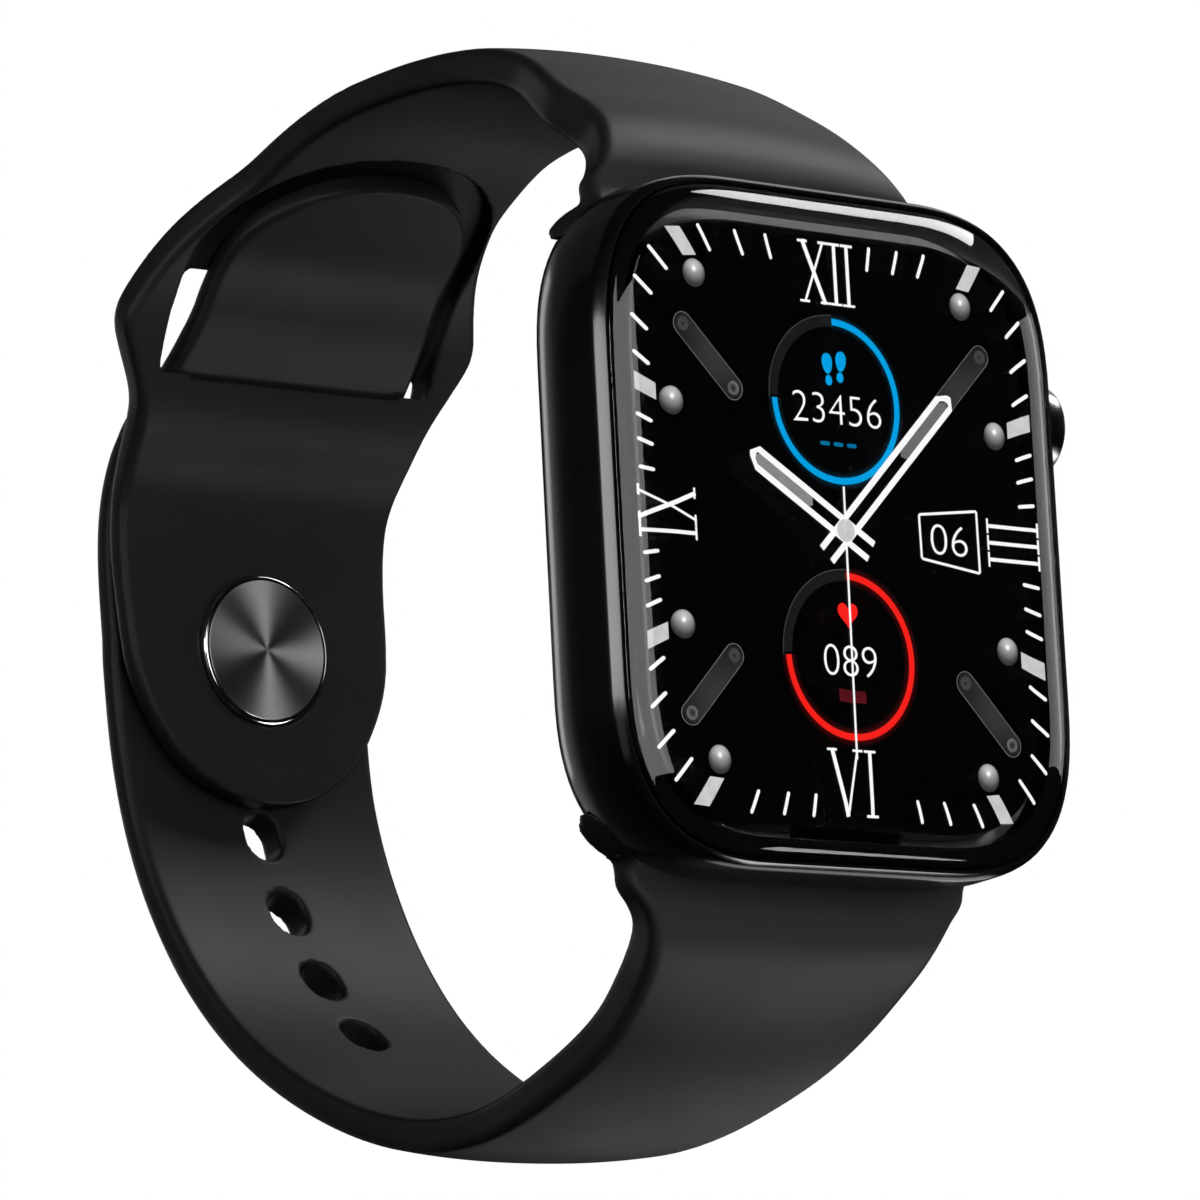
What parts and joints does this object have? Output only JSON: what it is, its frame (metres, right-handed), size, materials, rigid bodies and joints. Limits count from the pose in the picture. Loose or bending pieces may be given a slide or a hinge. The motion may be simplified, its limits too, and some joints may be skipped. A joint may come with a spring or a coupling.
{
  "type": "smartwatch",
  "caption": "Rounded-square smartwatch with curved glass over an analogue-style dial, side crown and button, and a pin-and-tuck silicone band fastened into a loop.",
  "frame": {"origin": "middle of the wrist opening, on the mid plane between three and nine o'clock and level with the dial's centre", "axes": "+X towards three o'clock and the crown, -Y the way the display faces, +Z towards twelve o'clock"},
  "size_m": [0.0398, 0.067, 0.0722],
  "materials": {
    "case_black": "black anodised, polished",
    "case_black_button": "black anodised, polished",
    "crown_metal": "dark gunmetal, smooth and polished",
    "back_plastic": "fine matt",
    "cover_glass": "clear with curved edge",
    "sensor_glass": "dark tinted dome",
    "adhesive": "black film",
    "display": "emissive analogue-style dial",
    "inner_steel": "pressed, dull",
    "flex_film": "amber film",
    "board": "solder mask",
    "chip_black": "moulded",
    "screw_steel": "plated",
    "battery_wrap": "foil pouch",
    "foam": "foam",
    "inner_plastic": "moulded",
    "diaphragm": "film",
    "rotor_tungsten": "sintered",
    "seal_rubber": "smooth",
    "led_lens": "clear lens",
    "release_plastic": "fine matt",
    "strap_silicone": "soft matt silicone",
    "lug_metal": "dark coated",
    "pin_steel": "radially brushed disc, polished rim"
  },
  "bodies": {
    "case": {"case_frame": "case_black", "cover_glass": "cover_glass", "glass_adhesive": "adhesive", "display_panel": "display", "display_bracket": "inner_steel", "display_flex": "flex_film", "main_board": "board", "board_screws": "screw_steel", "board_chips": "chip_black", "shield_can": "inner_steel", "battery_pad": "foam", "battery": "battery_wrap", "speaker_box": "inner_plastic", "speaker_diaphragm": "diaphragm", "microphone": "inner_steel", "vibration_motor_can": "inner_steel", "vibration_motor_shaft": "screw_steel", "crown_bush": "inner_steel", "crown_gasket": "seal_rubber", "crown_switch": "inner_plastic", "side_button_gasket": "seal_rubber", "side_button_switch": "inner_plastic", "back_cover": "back_plastic", "back_gasket": "seal_rubber", "back_screws": "screw_steel", "sensor_crystal": "sensor_glass", "sensor_board": "board", "sensor_leds": "led_lens", "sensor_photodiodes": "chip_black", "sensor_baffle": "inner_plastic"},
    "motor_rotor": {"vibration_motor_rotor": "rotor_tungsten"},
    "crown_carrier": {"crown_thrust_washer": "inner_steel"},
    "crown": {"crown_cap": "crown_metal", "crown_stem": "inner_steel"},
    "side_button": {"side_button": "case_black_button"},
    "upper_release": {"upper_release_button": "release_plastic"},
    "lower_release": {"lower_release_button": "release_plastic"},
    "upper_band": {"upper_strap": "strap_silicone", "upper_lug_bar": "lug_metal", "closure_pin": "pin_steel"},
    "lower_band": {"lower_strap": "strap_silicone", "lower_lug_bar": "lug_metal"}
  },
  "joints": [
    {"name": "upper_band_slide", "type": "slide", "parent": "case", "child": "upper_band", "axis": [1, 0, 0], "range_m": [-0.04, 0.04]},
    {"name": "lower_band_slide", "type": "slide", "parent": "case", "child": "lower_band", "axis": [1, 0, 0], "range_m": [-0.04, 0.04]},
    {"name": "crown_push", "type": "slide", "parent": "case", "child": "crown_carrier", "axis": [-1, 0, 0], "range_m": [0, 0.00035], "stiffness_N_per_m": 3000},
    {"name": "crown_spin", "type": "hinge", "parent": "crown_carrier", "child": "crown", "pos_m": [0.0198, -0.03075, 0.0085], "axis": [1, 0, 0], "continuous": true},
    {"name": "side_button_push", "type": "slide", "parent": "case", "child": "side_button", "axis": [-1, 0, 0], "range_m": [0, 0.0003], "stiffness_N_per_m": 3000},
    {"name": "upper_release_push", "type": "slide", "parent": "case", "child": "upper_release", "axis": [0, -1, 0], "range_m": [0, 0.0005], "stiffness_N_per_m": 2000},
    {"name": "lower_release_push", "type": "slide", "parent": "case", "child": "lower_release", "axis": [0, -1, 0], "range_m": [0, 0.0005], "stiffness_N_per_m": 2000},
    {"name": "vibration_motor_spin", "type": "hinge", "parent": "case", "child": "motor_rotor", "pos_m": [0.0083, -0.0295, -0.01], "axis": [0, 1, 0], "continuous": true}
  ],
  "couplings": [
    {"joint": "lower_band_slide", "follows": "upper_band_slide", "ratio": 1}
  ]
}
